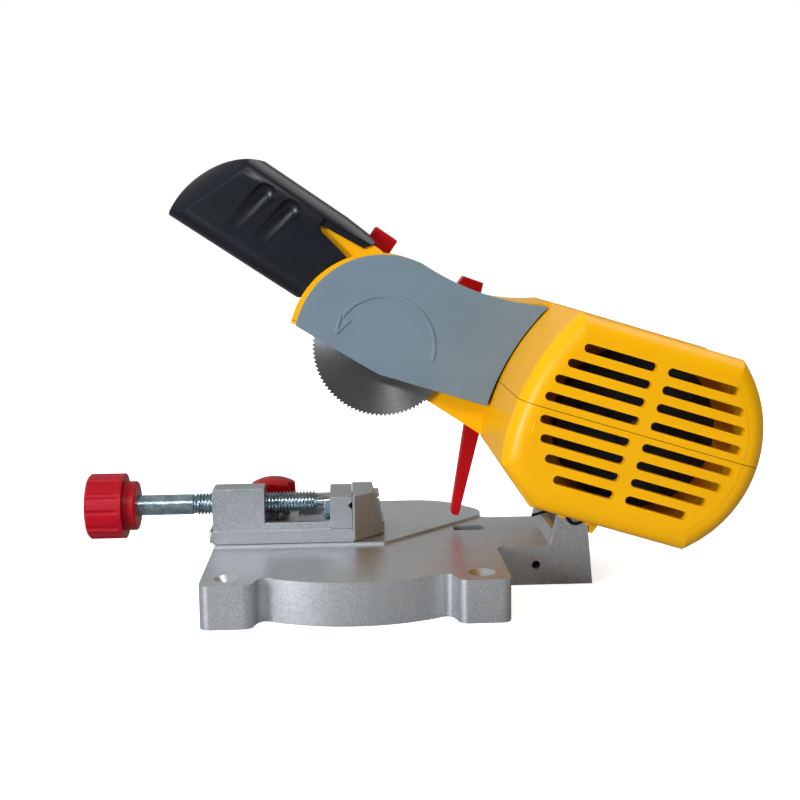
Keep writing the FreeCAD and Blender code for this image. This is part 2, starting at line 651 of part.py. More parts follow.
# ---------------------------------------------------------------- blade train
def saw_blade():
    pts = []
    for k in range(TEETH):
        a = 2 * math.pi * k / TEETH
        b = 2 * math.pi * (k + 0.72) / TEETH
        pts.append((BLADE_AX + BLADE_R * math.cos(a), SPLIT_Z + BLADE_R * math.sin(a)))
        pts.append((BLADE_AX + (BLADE_R - 0.95) * math.cos(b), SPLIT_Z + (BLADE_R - 0.95) * math.sin(b)))
    disc = slab_y(pts, BLADE_Y - BLADE_T / 2, BLADE_Y + BLADE_T / 2)
    return tilt(disc.cut(rod_y(BLADE_AX, SPLIT_Z, 4.76, -20, -10)))


def spindle():
    body = rod_y(BLADE_AX, SPLIT_Z, SPINDLE_R, -15.1, 24.5)
    pilot = rod_y(BLADE_AX, SPLIT_Z, 4.7, BLADE_Y - 0.3, BLADE_Y + 1.3)
    body = join([body, pilot])
    body = body.cut(rod_y(BLADE_AX, SPLIT_Z, 1.6, -17, -6))
    flats = box(BLADE_AX - 5, BLADE_AX + 5, 0.2, 6.0, SPLIT_Z - 5, SPLIT_Z + 5)
    flats = flats.cut(box(BLADE_AX - 2.5, BLADE_AX + 2.5, 0.0, 6.5, SPLIT_Z - 2.5, SPLIT_Z + 2.5))
    return tilt(body.cut(flats))


def inner_flange():
    """Flange that seats on the spindle's pilot, with a spacer back to the bearing."""
    seat = ring_y(BLADE_AX, SPLIT_Z, 7.5, 4.72, BLADE_Y + 0.3, BLADE_Y + 1.35)
    web = ring_y(BLADE_AX, SPLIT_Z, 7.5, SPINDLE_R + 0.02, BLADE_Y + 1.32, BLADE_Y + 2.0)
    spacer = ring_y(BLADE_AX, SPLIT_Z, 4.2, SPINDLE_R + 0.02, BLADE_Y + 1.9, -10.95)
    return tilt(join([seat, web, spacer]))


def outer_flange():
    return tilt(ring_y(BLADE_AX, SPLIT_Z, 7.5, 1.7, BLADE_Y - 1.5, BLADE_Y - 0.3))


def arbor_screw():
    head = rod_y(BLADE_AX, SPLIT_Z, 3.6, -19.1, BLADE_Y - 1.5)
    shank = rod_y(BLADE_AX, SPLIT_Z, 1.58, -17.2, -7.0)
    slot = box(BLADE_AX - 5, BLADE_AX + 5, -19.3, -18.3, SPLIT_Z - 0.45, SPLIT_Z + 0.45)
    return tilt(join([head, shank]).cut(slot))


def spindle_bearings():
    out = []
    for y0 in (-10.85, 7.1):
        out.append(tilt(ring_y(BLADE_AX, SPLIT_Z, 6.5, SPINDLE_R + 0.05, y0, y0 + 5.0)))
    return group(out)


def pulley(x, r):
    body = rod_y(x, SPLIT_Z, r, BELT_Y0 - 0.3, BELT_Y1 + 0.3)
    cheeks = [rod_y(x, SPLIT_Z, r + 1.2, y0, y0 + 1.0) for y0 in (BELT_Y0 - 1.3, BELT_Y1 + 0.3)]
    return join([body] + cheeks)


def blade_pulley():
    return tilt(pulley(BLADE_AX, BLADE_PULLEY_R).cut(rod_y(BLADE_AX, SPLIT_Z, SPINDLE_R + 0.02, 0, 40)))


def motor_pulley():
    return tilt(pulley(MOTOR_AX, MOTOR_PULLEY_R).cut(rod_y(MOTOR_AX, SPLIT_Z, 2.02, 0, 40)))


def belt_loop(extra, y0, y1):
    """Solid round both pulleys and the straight runs between them."""
    ra = BLADE_PULLEY_R + extra
    rb = MOTOR_PULLEY_R + extra
    span = MOTOR_AX - BLADE_AX
    t = math.asin((ra - rb) / span)
    ta = (BLADE_AX + ra * math.sin(t), SPLIT_Z + ra * math.cos(t))
    tb = (MOTOR_AX + rb * math.sin(t), SPLIT_Z + rb * math.cos(t))
    la = (ta[0], 2 * SPLIT_Z - ta[1])
    lb = (tb[0], 2 * SPLIT_Z - tb[1])
    steps = [ta, tb, (MOTOR_AX + rb, SPLIT_Z) + lb, la, (BLADE_AX - ra, SPLIT_Z) + ta]
    return slab_y(steps, y0, y1)


def drive_belt():
    return tilt(belt_loop(1.35, BELT_Y0, BELT_Y1).cut(belt_loop(0.12, BELT_Y0 - 1, BELT_Y1 + 1)))


# ---------------------------------------------------------------- motor
def motor_can():
    body = ring_y(MOTOR_AX, SPLIT_Z, MOTOR_R, MOTOR_R - 1.6, -50.0, 0.9)
    face = ring_y(MOTOR_AX, SPLIT_Z, MOTOR_R, 7.9, -0.7, 0.9)
    nose = ring_y(MOTOR_AX, SPLIT_Z, 7.9, 4.0, -0.7, 3.6)
    return tilt(join([body, face, nose]))


def motor_end_cap():
    """Moulded brush plate that closes the front of the motor."""
    disc = ring_y(MOTOR_AX, SPLIT_Z, MOTOR_R, 3.6, -54.0, -50.05)
    hub = ring_y(MOTOR_AX, SPLIT_Z, 7.0, 3.6, -57.5, -53.9)
    towers = []
    for s in (-1, 1):
        x = MOTOR_AX + s * 16
        towers.append(box(x - 4, x + 4, -56.5, -53.9, SPLIT_Z - 3, SPLIT_Z + 3))
        x = MOTOR_AX + s * 10.6
        towers.append(box(x - 3, x + 3, -50.1, -44.6, SPLIT_Z - 3, SPLIT_Z + 3))
    slots = box(MOTOR_AX - 12.6, MOTOR_AX + 12.6, -49.06, -44.0, SPLIT_Z - 2.05, SPLIT_Z + 2.05)
    return tilt(join([disc, hub] + towers).cut(slots))


def motor_bushes():
    front = ring_y(MOTOR_AX, SPLIT_Z, 3.6, 2.03, -57.0, -50.5)
    rear = ring_y(MOTOR_AX, SPLIT_Z, 4.0, 2.03, -0.6, 3.5)
    return group([tilt(front), tilt(rear)])


def motor_magnets():
    out = []
    for s in (-1, 1):
        whole = ring_y(MOTOR_AX, SPLIT_Z, MOTOR_R - 1.62, MOTOR_R - 6.0, -42.0, -8.0)
        edge = MOTOR_AX + s * 9.0
        side = box(min(edge, edge + s * 30), max(edge, edge + s * 30), -50, 0, 0, 90)
        out.append(tilt(whole.common(side)))
    return group(out)


def motor_shaft():
    return tilt(rod_y(MOTOR_AX, SPLIT_Z, 2.0, -58.0, 24.0))


def armature():
    """Slotted core with its windings and commutator."""
    core = ring_y(MOTOR_AX, SPLIT_Z, 19.5, 2.02, -38.0, -12.0)
    slots = []
    for k in range(12):
        a = 2 * math.pi * k / 12
        x = MOTOR_AX + 18.6 * math.cos(a)
        z = SPLIT_Z + 18.6 * math.sin(a)
        slots.append(rod_y(x, z, 2.0, -40, -10))
    core = core.cut(slots)
    ends = [ring_y(MOTOR_AX, SPLIT_Z, 15.5, 2.02, y0, y0 + 4.6) for y0 in (-42.5, -12.1)]
    commutator = ring_y(MOTOR_AX, SPLIT_Z, 6.5, 2.02, -49.5, -42.4)
    return tilt(join([core, commutator] + ends))


def brushes():
    out = []
    for s in (-1, 1):
        x0 = MOTOR_AX + s * 6.7
        x1 = MOTOR_AX + s * 12.5
        out.append(tilt(box(min(x0, x1), max(x0, x1), -49.0, -44.8, SPLIT_Z - 2, SPLIT_Z + 2)))
    return group(out)


# ---------------------------------------------------------------- grip, buttons and fittings
def handle_grip():
    y0 = -8.5
    y1 = 25.5
    body = slab_y(handle_outline(), y0, y1)
    long_top = lambda e: e.BoundBox.ZMin > 76 and e.BoundBox.YLength < 0.01
    long_low = lambda e: e.BoundBox.ZMax < 63.5 and e.BoundBox.YLength < 0.01 and e.BoundBox.XMin < -160
    body = soften(body, 8.0, lambda e: long_top(e) and not (e.BoundBox.XMin < -150))
    body = soften(body, 6.0, long_low)
    body = body.common(bow(y0, y1))
    hollow = slab_y(neck_outline(), NECK_Y0 - 0.12, NECK_Y1 + 0.12, -0.12)
    disc = rod_y(BLADE_AX, SPLIT_Z, 34.15, ARM_FRONT - 1, ARM_BACK + 1)
    cuts = [hollow, disc]
    shut = [(-118.2, 77.6), (-90.0, 71.6), (-90.0, 50.0), (-106.4, 66.7), (-118.9, 73.5)]
    cuts += [slab_y(shut, y0 - 1, y0 + 2.0), slab_y(shut, y1 - 2.0, y1 + 1)]
    deep = [(-118.3, 75.0), (-90.0, 68.8), (-90.0, 50.0), (-106.4, 66.7), (-118.7, 73.6)]
    cuts += [slab_y(deep, y0 - 1, y1 + 1)]
    cuts += finger_grooves(y0, -1) + finger_grooves(y1, 1)
    cuts.append(slab_y(grip_block(-5.2, 5.2, -3.0, 20.0), 3.2, 13.8))
    return tilt(body.cut(cuts).removeSplitter())


def bow(y0, y1):
    """Blunt rounded nose for the free end of the grip, swept along its end face."""
    a = (-168.4, 63.4)
    b = (-145.2, 90.4)
    n = math.hypot(b[0] - a[0], b[1] - a[1])
    d = V((b[0] - a[0]) / n, 0, (b[1] - a[1]) / n)
    out = V(-d.z, 0, d.x)
    mid = (y0 + y1) / 2
    base = V(a[0], 0, a[1]) - d * 60
    p0 = base + V(0, y0, 0)
    p1 = base + V(0, y1, 0)
    pm = base + V(0, mid, 0) + out * NOSE_SAG
    back = out * -120
    edges = [Part.Arc(p0, pm, p1).toShape(), Part.makeLine(p1, p1 + back)]
    edges += [Part.makeLine(p1 + back, p0 + back), Part.makeLine(p0 + back, p0)]
    return Part.Face(Part.Wire(edges)).extrude(d * 160)


def finger_grooves(face_y, sign):
    """Two tapering finger grooves, deep under the shoulder and running out to a point."""
    out = []
    for hx, hz, tx, tz in ((-140.4, 80.0, -150.9, 62.9), (-130.2, 77.1, -141.1, 60.0)):
        head = V(hx, face_y + sign * 2.4, hz)
        toe = V(tx, face_y + sign * 4.7, tz)
        axis = toe - head
        out.append(Part.makeCylinder(4.6, axis.Length, head, axis))
        out.append(Part.makeSphere(4.6, head))
    return out


def switch_button():
    block = slab_y(grip_block(-4.9, 4.9, -1.6, 5.9), 3.6, 13.4)
    block = soften(block, 0.8, lambda e: e.BoundBox.ZMax > 74)
    return tilt(join([block, slab_y(grip_block(-2.0, 2.0, -6.0, -1.5), 6.0, 11.0)]))


def switch_body():
    return tilt(slab_y(grip_block(-9.2, 4.2, -13.6, -7.0), 3.0, 14.0))


def lock_button():
    """Red button with the forked bar that drops on to the spindle's flats."""
    block = slab_y([(-64.0, 67.2), (-54.2, 67.2), (-54.5, 71.6), (-62.3, 72.0)], 1.5, 9.5)
    block = soften(block, 0.5, lambda e: e.BoundBox.ZMax > 71)
    stem = rod_z(-60.0, 5.5, 1.6, 46.0, 67.3)
    arm = box(-86.5, -58.4, 0.7, 5.5, 44.2, 46.6)
    return tilt(join([block, stem, arm]))


def lock_spring():
    """Return spring of the spindle lock, drawn as a close stack of rings."""
    rings = []
    for k in range(6):
        rings.append(tilt(Part.makeTorus(2.6, 0.4, V(-60.0, 5.5, 56.5 + 1.6 * k), V(0, 0, 1))))
    return group(rings)


def shell_screws():
    out = []
    for x, y, r, seat in screw_posts():
        head = rod_z(x, y, 2.1, seat - 1.7, seat - 0.02)
        shank = rod_z(x, y, 1.1, seat - 0.5, SPLIT_Z + 9)
        slot = box(x - 3, x + 3, y - 0.35, y + 0.35, seat - 2, seat - 1.0)
        out.append(tilt(join([head, shank]).cut(slot)))
    return group(out)


def cord_inlet():
    """Rubber grommet of the cord's way in, at the back of the motor cover."""
    return tilt(ring_y(36.5, 24.0, 3.55, 2.0, 28.5, 32.0).fuse(ring_y(36.5, 24.0, 4.6, 2.0, 30.55, 32.0)))


# ---------------------------------------------------------------- write every node
def main():
    makers = {
        "base_casting": base_casting,
        "pivot_shaft": pivot_shaft,
        "retaining_rings": retaining_rings,
        "torsion_spring": torsion_spring,
        "vise_body": vise_body,
        "moving_jaw": moving_jaw,
        "jaw_retainer": jaw_retainer,
        "vise_screw": vise_screw,
        "vise_knob": vise_knob,
        "lock_knob": lock_knob,
        "lock_stud": lock_stud,
        "lock_nut": lock_nut,
        "lock_washer": lock_washer,
        "swivel_screw": swivel_screw,
        "head_shell_lower": head_lower,
        "head_shell_upper": head_upper,
        "handle_grip": handle_grip,
        "blade_guard": blade_guard,
        "stop_leg": stop_leg,
        "switch_button": switch_button,
        "switch_body": switch_body,
        "spindle_lock_button": lock_button,
        "spindle_lock_spring": lock_spring,
        "shell_screws": shell_screws,
        "cord_inlet": cord_inlet,
        "saw_blade": saw_blade,
        "spindle": spindle,
        "inner_flange": inner_flange,
        "outer_flange": outer_flange,
        "arbor_screw": arbor_screw,
        "spindle_bearings": spindle_bearings,
        "blade_pulley": blade_pulley,
        "motor_pulley": motor_pulley,
        "drive_belt": drive_belt,
        "motor_can": motor_can,
        "motor_end_cap": motor_end_cap,
        "motor_bushes": motor_bushes,
        "motor_magnets": motor_magnets,
        "motor_shaft": motor_shaft,
        "armature": armature,
        "motor_brushes": brushes,
    }
    for name, make in makers.items():
        shape = make()
        if not shape.isValid():
            print("invalid", name)
        save(name, shape)


main()
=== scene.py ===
"""Looks of the mini bench cut-off saw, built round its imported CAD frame. Metres, row frame."""
import json
import math

import bmesh
import bpy
from mathutils import Matrix, Vector


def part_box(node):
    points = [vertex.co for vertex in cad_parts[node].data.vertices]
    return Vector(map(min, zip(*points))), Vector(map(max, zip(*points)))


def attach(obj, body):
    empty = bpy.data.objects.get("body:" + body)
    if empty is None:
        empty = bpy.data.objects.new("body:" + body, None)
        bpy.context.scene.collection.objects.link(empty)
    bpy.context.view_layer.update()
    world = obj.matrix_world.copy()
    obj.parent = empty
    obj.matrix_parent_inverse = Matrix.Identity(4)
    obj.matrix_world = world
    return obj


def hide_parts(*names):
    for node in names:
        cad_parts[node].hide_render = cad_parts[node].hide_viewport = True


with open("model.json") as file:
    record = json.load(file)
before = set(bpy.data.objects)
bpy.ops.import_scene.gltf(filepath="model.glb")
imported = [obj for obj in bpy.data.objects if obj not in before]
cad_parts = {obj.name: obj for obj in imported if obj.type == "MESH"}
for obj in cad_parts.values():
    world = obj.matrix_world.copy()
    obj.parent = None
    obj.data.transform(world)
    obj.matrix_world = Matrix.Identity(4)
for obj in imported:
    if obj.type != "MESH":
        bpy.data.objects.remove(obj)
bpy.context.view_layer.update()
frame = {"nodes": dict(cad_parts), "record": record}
nodes = frame["nodes"]

MM = 0.001


# ---------------------------------------------------------------- material kit
class Finish:
    """A Principled material with short calls for the procedural detail that goes into it."""

    def __init__(self, name, rough=0.4, metal=0.0, **fixed):
        self.mat = bpy.data.materials.new(name)
        self.mat.use_nodes = True
        self.tree = self.mat.node_tree
        self.shader = self.tree.nodes["Principled BSDF"]
        self.shader.inputs["Roughness"].default_value = rough
        self.shader.inputs["Metallic"].default_value = metal
        for socket, value in fixed.items():
            self.shader.inputs[socket.replace("_", " ")].default_value = value
        self.coords = self.tree.nodes.new("ShaderNodeTexCoord").outputs["Object"]
        self.normal = None

    def put(self, value, socket):
        if isinstance(value, bpy.types.NodeSocket):
            self.tree.links.new(value, socket)
        else:
            socket.default_value = value

    def noise(self, size, detail=3.0, rough=0.55, stretch=(1, 1, 1)):
        """Noise whose blobs are about size metres across, drawn out along an axis by stretch."""
        grid = self.tree.nodes.new("ShaderNodeMapping")
        grid.inputs["Scale"].default_value = [1 / (size * s) for s in stretch]
        self.tree.links.new(self.coords, grid.inputs["Vector"])
        noise = self.tree.nodes.new("ShaderNodeTexNoise")
        noise.inputs["Scale"].default_value = 1.0
        noise.inputs["Detail"].default_value = detail
        noise.inputs["Roughness"].default_value = rough
        self.tree.links.new(grid.outputs["Vector"], noise.inputs["Vector"])
        return noise.outputs["Fac"]

    def noise_line(self, value, detail):
        """Noise along one number."""
        noise = self.tree.nodes.new("ShaderNodeTexNoise")
        noise.noise_dimensions = "1D"
        noise.inputs["Scale"].default_value = 1.0
        noise.inputs["Detail"].default_value = detail
        self.put(value, noise.inputs["W"])
        return noise.outputs["Fac"]

    def vector(self, kind, a, b=(0, 0, 0)):
        node = self.tree.nodes.new("ShaderNodeVectorMath")
        node.operation = kind
        self.put(a, node.inputs[0])
        self.put(b, node.inputs[1])
        return node.outputs["Vector"]

    def length(self, a):
        node = self.tree.nodes.new("ShaderNodeVectorMath")
        node.operation = "LENGTH"
        self.put(a, node.inputs[0])
        return node.outputs["Value"]

    def math(self, kind, a, b):
        node = self.tree.nodes.new("ShaderNodeMath")
        node.operation = kind
        self.put(a, node.inputs[0])
        self.put(b, node.inputs[1])
        return node.outputs[0]

    def span(self, value, low, high, start=0.0, end=1.0):
        """Maps low..high to start..end, held at both ends."""
        node = self.tree.nodes.new("ShaderNodeMapRange")
        self.put(value, node.inputs["Value"])
        node.inputs["From Min"].default_value = low
        node.inputs["From Max"].default_value = high
        self.put(start, node.inputs["To Min"])
        self.put(end, node.inputs["To Max"])
        return node.outputs["Result"]

    def mix(self, factor, a, b):
        node = self.tree.nodes.new("ShaderNodeMix")
        node.data_type = "RGBA"
        self.put(factor, node.inputs["Factor"])
        self.put(a, node.inputs["A"])
        self.put(b, node.inputs["B"])
        return node.outputs["Result"]

    def colour(self, value):
        self.put(value, self.shader.inputs["Base Color"])

    def rough(self, value):
        self.put(value, self.shader.inputs["Roughness"])

    def bump(self, height, depth, strength=1.0):
        """Adds relief of depth metres on top of what is there."""
        node = self.tree.nodes.new("ShaderNodeBump")
        node.inputs["Distance"].default_value = depth
        node.inputs["Strength"].default_value = strength
        self.put(height, node.inputs["Height"])
        if self.normal is not None:
            self.tree.links.new(self.normal, node.inputs["Normal"])
        self.normal = node.outputs["Normal"]
        self.tree.links.new(self.normal, self.shader.inputs["Normal"])


def rgb(r, g, b):
    """Linear colour from 0..255 display values."""
    def lin(c):
        c /= 255
        return c / 12.92 if c <= 0.04045 else ((c + 0.055) / 1.055) ** 2.4

    return (lin(r), lin(g), lin(b), 1.0)


# ---------------------------------------------------------------- finishes
def cast_silver(name, light, dark):
    """Fine blasted aluminium casting under a thin silver coat: fine sparkle, soft clouds, faint pits."""
    f = Finish(name, metal=0.9)
    speck = f.noise(0.26 * MM, detail=2.0, rough=0.6)
    cloud = f.noise(14 * MM, detail=4.0)
    fine = f.noise(0.12 * MM, detail=1.0)
    tone = f.mix(f.span(speck, 0.36, 0.66), dark, light)
    tone = f.mix(f.span(cloud, 0.35, 0.7, 0.0, 0.25), tone, dark)
    f.colour(f.mix(f.span(fine, 0.64, 0.76, 0.0, 0.35), tone, rgb(225, 228, 232)))
    f.rough(f.span(f.noise(0.5 * MM, detail=2.0), 0.3, 0.7, 0.29, 0.45))
    f.bump(speck, 0.02 * MM, 0.35)
    f.bump(f.noise(1.6 * MM, detail=3.0), 0.05 * MM, 0.25)
    return f.mat


def moulded(name, light, dark, rough, level, grain=0.008 * MM, swirl=0.05):
    """Injection-moulded plastic: slight flow marks, fine texture, a few finger smears in the gloss."""
    f = Finish(name, IOR=1.5, Specular_IOR_Level=level)
    flow = f.noise(22 * MM, detail=3.0, stretch=(1.0, 0.6, 0.6))
    f.colour(f.mix(f.span(flow, 0.3, 0.72), dark, light))
    smear = f.noise(7 * MM, detail=5.0, rough=0.65)
    f.rough(f.span(smear, 0.35, 0.7, rough - swirl, rough + swirl))
    f.bump(f.noise(0.3 * MM, detail=2.0), grain, 0.6)
    f.bump(f.noise(6 * MM, detail=1.0), 0.02 * MM, 0.3)
    return f.mat


def plated(name, light, dark, rough=0.26, along="X"):
    """Zinc plate: cool steel with faint yellow and blue clouds and drawn scratches."""
    f = Finish(name, metal=1.0)
    cloud = f.noise(3.5 * MM, detail=3.0)
    f.colour(f.mix(f.span(cloud, 0.35, 0.65), dark, light))
    stretch = tuple(14 if axis == along else 1 for axis in "XYZ")
    lines = f.noise(0.12 * MM, detail=3.0, stretch=stretch)
    f.rough(f.span(lines, 0.3, 0.7, rough - 0.08, rough + 0.1))
    f.bump(lines, 0.006 * MM, 0.4)
    return f.mat


def dull(name, light, dark, rough, metal=0.0):
    """Plain matt stuff with soft clouds and a fine grain."""
    f = Finish(name, metal=metal)
    f.colour(f.mix(f.span(f.noise(2 * MM, detail=4.0), 0.35, 0.65), dark, light))
    f.rough(f.span(f.noise(0.8 * MM), 0.3, 0.7, rough - 0.06, rough + 0.06))
    f.bump(f.noise(0.25 * MM), 0.02 * MM, 0.5)
    return f.mat


def ground_disc(name, light, dark, centre):
    """Blade steel ground on a turntable: rings about its centre, so the light fans out across it."""
    quarter_turn = 0.25
    f = Finish(name, metal=1.0, Anisotropic=0.95, Anisotropic_Rotation=quarter_turn)
    arm = f.vector("SUBTRACT", f.coords, tuple(centre))
    radius = f.length(arm)
    around = f.vector("CROSS_PRODUCT", arm, (0.0, 1.0, 0.0))
    f.tree.links.new(f.vector("NORMALIZE", around), f.shader.inputs["Tangent"])
    fine_pitch, broad_pitch = 0.11 * MM, 1.3 * MM
    rings = f.noise_line(f.math("MULTIPLY", radius, 1 / fine_pitch), 3.0)
    broad = f.noise_line(f.math("MULTIPLY", radius, 1 / broad_pitch), 2.0)
    spots = f.noise(2.2 * MM, detail=4.0)
    tone = f.mix(f.span(rings, 0.3, 0.7), dark, light)
    f.colour(f.mix(f.span(spots, 0.5, 0.75, 0.0, 0.25), tone, dark))
    f.rough(f.span(broad, 0.3, 0.7, 0.44, 0.52))
    f.bump(rings, 0.004 * MM, 0.5)
    return f.mat


def middle_of(name):
    low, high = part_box(name)
    return (Vector(low) + Vector(high)) / 2


FINISHES = {
    "table_casting": cast_silver("table_cast", rgb(222, 228, 234), rgb(170, 172, 174)),
    "vise_casting": cast_silver("vise_cast", rgb(204, 209, 215), rgb(150, 154, 158)),
    "yellow_shell": moulded("yellow_abs", rgb(237, 172, 0), rgb(232, 167, 0), 0.34, 0.2),
    "guard_grey": moulded("guard_grey_pp", rgb(109, 127, 140), rgb(102, 120, 133), 0.5, 0.3,
                          grain=0.02 * MM),
    "grip_black": moulded("grip_black_pp", rgb(4, 11, 24), rgb(2, 7, 16), 0.34, 0.38,
                          grain=0.01 * MM, swirl=0.025),
    "red_plastic": moulded("red_abs", rgb(176, 0, 14), rgb(158, 0, 8), 0.36, 0.2),
    "knob_red": moulded("knob_red_abs", rgb(176, 2, 30), rgb(156, 0, 22), 0.4, 0.22),
    "zinc": plated("zinc_plate", rgb(170, 188, 198), rgb(122, 142, 154)),
    "steel": plated("ground_steel", rgb(190, 190, 194), rgb(140, 140, 146), 0.3, along="Y"),
    "blade_steel": ground_disc("blade_steel", rgb(160, 161, 160), rgb(92, 96, 100), middle_of("saw_blade")),
    "black_steel": dull("black_oxide", rgb(44, 44, 48), rgb(26, 26, 29), 0.35, metal=0.8),
    "spring_steel": dull("spring_wire", rgb(52, 52, 56), rgb(30, 30, 33), 0.32, metal=0.9),
    "motor_black": dull("motor_paint", rgb(26, 24, 24), rgb(14, 13, 13), 0.45),
    "magnet": dull("ferrite", rgb(58, 58, 60), rgb(40, 40, 42), 0.6),
    "copper": dull("varnished_copper", rgb(190, 110, 66), rgb(150, 80, 44), 0.35, metal=0.9),
    "brass_part": dull("turned_brass", rgb(212, 178, 104), rgb(180, 146, 80), 0.3, metal=1.0),
    "belt_rubber": dull("belt_rubber", rgb(30, 30, 31), rgb(20, 20, 21), 0.7),
    "inner_plastic": dull("inner_plastic", rgb(22, 20, 20), rgb(12, 11, 11), 0.5),
    "carbon": dull("carbon", rgb(40, 40, 42), rgb(26, 26, 28), 0.6),
}

slot_of = {row["node"]: row["material_slot"] for row in frame["record"]["subparts"]}
body_of = {}
for body, members in frame["record"]["behaviour"]["bodies"].items():
    for member in members:
        body_of[member] = body


# ---------------------------------------------------------------- pieces from the CAD nodes
EASE_ABOVE = math.radians(32)
SHARP_ABOVE = math.radians(38)
FLAT_BELOW = math.radians(0.6)
WELD = 0.002 * MM


def link(obj):
    bpy.context.scene.collection.objects.link(obj)
    return obj


def stands_for(node, name, mesh):
    """Makes the mesh a piece that rides with the node's body and stands for the node."""
    piece = link(bpy.data.objects.new(name, mesh))
    piece.data.materials.append(FINISHES[slot_of[node]])
    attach(piece, body_of[node])
    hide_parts(node)
    return piece


def smooth_mesh(bm, name):
    """Turns bmesh work into a smooth mesh that stays sharp at steep edges."""
    for face in bm.faces:
        face.smooth = True
    mesh = bpy.data.meshes.new(name)
    bm.to_mesh(mesh)
    bm.free()
    mesh.set_sharp_from_angle(angle=SHARP_ABOVE)
    return mesh


def eased(node, width):
    """A copy of a CAD node with its sharp edges eased by width, which then stands for the node."""
    bm = bmesh.new()
    bm.from_mesh(nodes[node].data)
    bmesh.ops.remove_doubles(bm, verts=bm.verts, dist=WELD)
    bmesh.ops.dissolve_limit(bm, angle_limit=FLAT_BELOW, verts=bm.verts, edges=bm.edges)
    edges = [e for e in bm.edges if len(e.link_faces) == 2 and e.calc_face_angle(0.0) > EASE_ABOVE]
    bmesh.ops.bevel(bm, geom=edges, offset=width, offset_type="OFFSET", segments=2, profile=0.5,
                    affect="EDGES", clamp_overlap=True, harden_normals=False)
    piece = stands_for(node, node + "_skin", smooth_mesh(bm, node + "_eased"))
    even = piece.modifiers.new("even_normals", "WEIGHTED_NORMAL")
    even.keep_sharp = True


def turned(bm, profile, centre, steps=64):
    """Turned surface about the X axis through centre, from (x, radius) pairs."""
    rings = []
    for x, r in profile:
        ring = []
        for k in range(steps):
            a = 2 * math.pi * k / steps
            ring.append(bm.verts.new((x, centre.y + r * math.cos(a), centre.z + r * math.sin(a))))
        rings.append(ring)
    for one, two in zip(rings, rings[1:]):
        for k in range(steps):
            n = (k + 1) % steps
            bm.faces.new((one[k], one[n], two[n], two[k]))
    bm.faces.new(rings[0][::-1])
    bm.faces.new(rings[-1])


def helix(bm, x0, x1, crest, root, pitch, centre, around=48, along=14):
    """Screw thread about X, with rounded crests and roots, that runs out at both ends."""
    turns = int(round((x1 - x0) / pitch))
    rows = turns * along
    grid = []
    for i in range(rows + 1):
        row = []
        for k in range(around):
            a = 2 * math.pi * k / around
            x = x0 + (i / along + k / around - 1) * pitch
            wave = 0.5 + 0.5 * math.cos(2 * math.pi * i / along)
            depth = min(1.0, max(0.0, wave * 1.5 - 0.22))
            ends = min(1.0, max(0.0, (x - x0) / pitch), max(0.0, (x1 - x) / pitch))
            r = root + (crest - root) * depth * ends
            x = min(max(x, x0), x1)
            row.append(bm.verts.new((x, centre.y + r * math.cos(a), centre.z - r * math.sin(a))))
        grid.append(row)
    for i in range(rows):
        for k in range(around):
            n = (k + 1) % around
            lift = along if n == 0 else 0
            if i + 1 + lift <= rows:
                bm.faces.new((grid[i][k], grid[i + 1][k], grid[i + 1 + lift][n], grid[i + lift][n]))


def vise_screw():
    """The vise screw with a true helical thread, a plain shank and a thin neck into the jaw."""
    low, high = (Vector(c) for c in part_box("vise_screw"))
    centre = (low + high) / 2
    shank_length, neck_length, collar_width = (w * MM for w in (35.2, 8.8, 1.8))
    shank, crest, root, core, neck, collar = (r * MM for r in (3.8, 4.0, 3.3, 3.0, 1.6, 2.5))
    pitch, overlap, bevel, step = (w * MM for w in (1.25, 1.2, 0.5, 0.1))
    start = low.x + shank_length
    stop = high.x - neck_length
    bm = bmesh.new()
    turned(bm, [(low.x, shank), (start - bevel, shank), (start, shank - bevel), (start + step, core)],
           centre)
    helix(bm, start, stop, crest, root, pitch, centre)
    turned(bm, [(stop - overlap, root), (stop - step, root - step), (stop + step, neck),
                (high.x - collar_width, neck), (high.x - collar_width, collar), (high.x, collar - step)],
           centre)
    stands_for("vise_screw", "vise_screw_threaded", smooth_mesh(bm, "vise_screw_threaded"))


EASED = {
    "base_casting": 0.4, "vise_body": 0.3, "moving_jaw": 0.3, "head_shell_upper": 0.2,
    "head_shell_lower": 0.2, "blade_guard": 0.25, "handle_grip": 0.4, "stop_leg": 0.4, "vise_knob": 0.4,
    "lock_knob": 0.4, "switch_button": 0.25, "spindle_lock_button": 0.25, "jaw_retainer": 0.2,
}

for name, obj in nodes.items():
    obj.data.materials.clear()
    obj.data.materials.append(FINISHES[slot_of[name]])
for name, width in EASED.items():
    eased(name, width * MM)
vise_screw()


# ---------------------------------------------------------------- floor, light, camera
def floor():
    """A floor that is white to the camera and a plain grey to all other light, so the saw isn't flooded."""
    mesh = bpy.data.meshes.new("floor")
    half = 3.0
    corners = [(-half, -half, 0), (half, -half, 0), (half, half, 0), (-half, half, 0)]
    mesh.from_pydata(corners, [], [(0, 1, 2, 3)])
    obj = link(bpy.data.objects.new("floor", mesh))
    f = Finish("pale_floor", rough=0.9, Specular_IOR_Level=0.1)
    f.shader.inputs["Emission Color"].default_value = (1, 1, 1, 1)
    seen = f.tree.nodes.new("ShaderNodeLightPath").outputs["Is Camera Ray"]
    f.put(f.span(seen, 0.0, 1.0, 0.0, 0.78), f.shader.inputs["Emission Strength"])
    white = f.mix(f.span(f.noise(0.3), 0.3, 0.7), rgb(240, 240, 240), rgb(244, 244, 244))
    f.colour(f.mix(seen, rgb(165, 165, 165), white))
    mesh.materials.append(f.mat)


